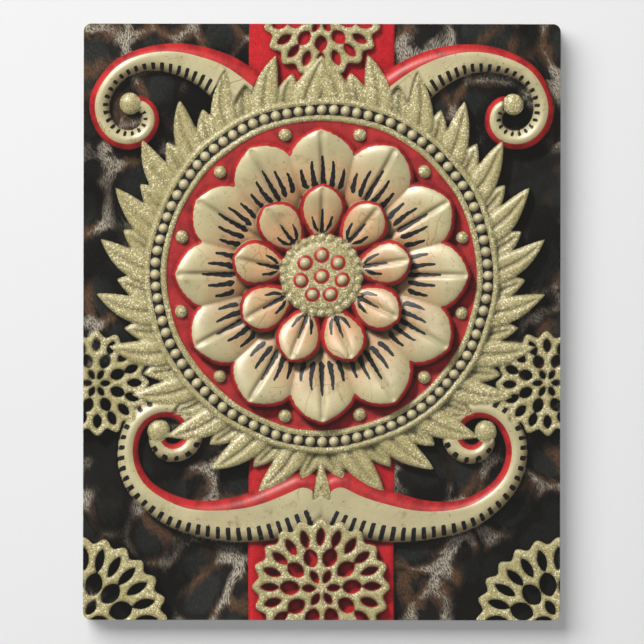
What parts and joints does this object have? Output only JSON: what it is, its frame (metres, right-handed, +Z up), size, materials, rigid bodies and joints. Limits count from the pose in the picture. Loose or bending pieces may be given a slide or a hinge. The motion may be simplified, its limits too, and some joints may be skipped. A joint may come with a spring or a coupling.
{
  "type": "wall photo plaque",
  "caption": "Portrait wall plaque with small rounded corners, a glossy print bonded over its whole front and a keyhole slot in its back for a wall screw.",
  "frame": {"origin": "top end of the keyhole slot, in the plane of the back: where the wall screw's shank meets the wall and carries the plaque", "axes": "+Z up, along the plaque's height; +Y into the wall, square to the back; +X to the right as seen from the front, so the print faces -Y"},
  "size_m": [0.2032, 0.0095, 0.254],
  "materials": {
    "board": "medium density fibreboard, black sealed edges and back, raw brown fibre inside the keyhole slot",
    "print": "photographic print under clear gloss film, showing carved and painted ornament in cream, red, black and gold on dark hide"
  },
  "bodies": {
    "root": {"board": "board", "printed_sheet": "print"}
  },
  "joints": []
}
